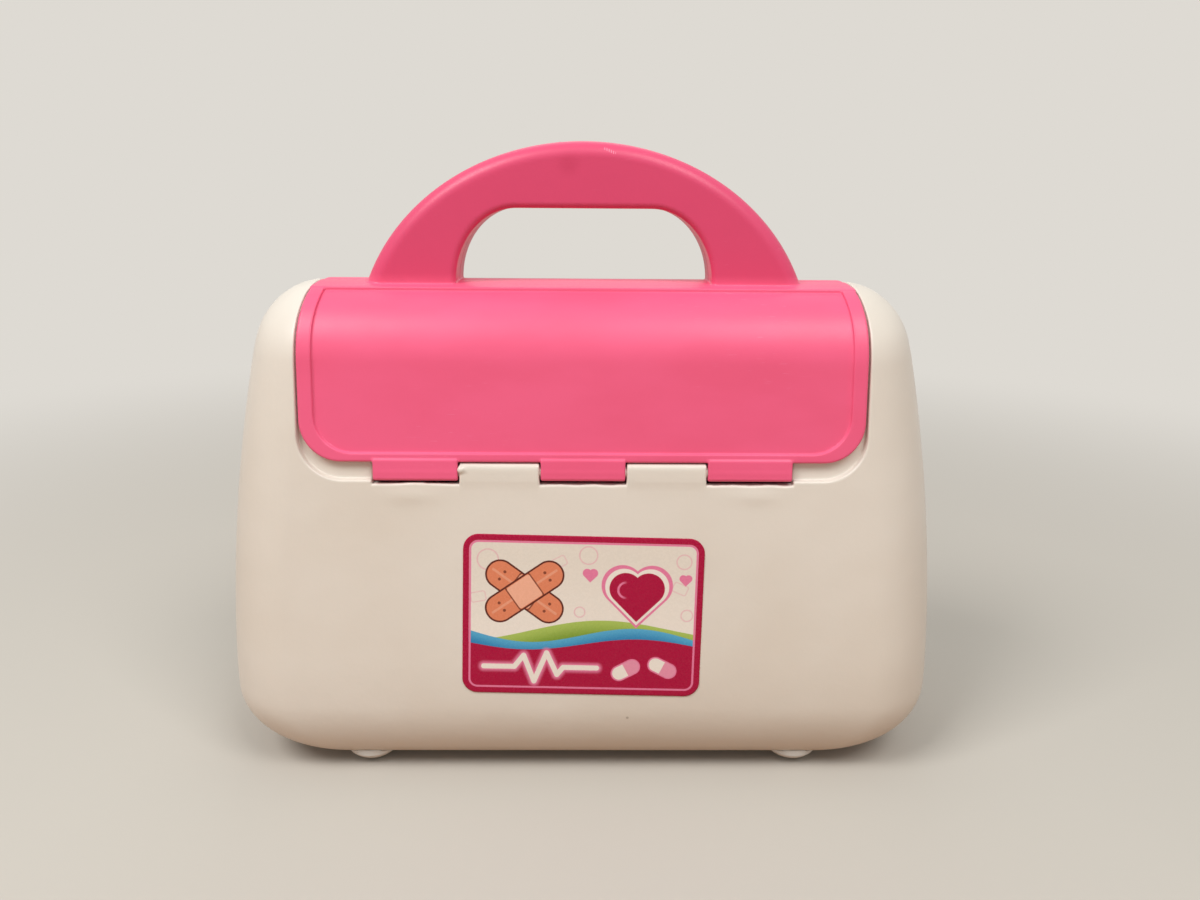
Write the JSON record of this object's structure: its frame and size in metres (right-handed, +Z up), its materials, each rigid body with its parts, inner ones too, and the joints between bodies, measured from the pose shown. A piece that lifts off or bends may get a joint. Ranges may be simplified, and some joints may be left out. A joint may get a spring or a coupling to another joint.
{
  "type": "toy doctor case",
  "caption": "Toy doctor case: a thin white shell on dome feet, with hinged pink doors at front and rear that meet in a split carrying handle.",
  "frame": {"origin": "on the table, below the middle of the case", "axes": "+X to the right as seen from the front, +Y to the rear, +Z up"},
  "size_m": [0.241, 0.0953, 0.2076],
  "materials": {
    "case_white": "satin blow-moulded polyethylene, warm white",
    "door_pink": "satin injection-moulded polypropylene, bright pink",
    "pin_white": "smooth white plastic rod",
    "label_print": "printed and laminated sticker with a magenta border",
    "foot_soft": "soft whitish dome, slightly cloudy"
  },
  "bodies": {
    "case": {"body": "case_white", "front_hinge_pin": "pin_white", "rear_hinge_pin": "pin_white", "label": "label_print", "front_left_foot": "foot_soft", "front_right_foot": "foot_soft", "rear_left_foot": "foot_soft", "rear_right_foot": "foot_soft"},
    "front_door": {"front_door": "door_pink"},
    "rear_door": {"rear_door": "door_pink"}
  },
  "joints": [
    {"name": "front_door_hinge", "type": "hinge", "parent": "case", "child": "front_door", "pos_m": [0, -0.03516, 0.1056], "axis": [1, 0, 0], "range_deg": [0, 95]},
    {"name": "rear_door_hinge", "type": "hinge", "parent": "case", "child": "rear_door", "pos_m": [0, 0.03516, 0.1056], "axis": [-1, 0, 0], "range_deg": [0, 95]}
  ]
}
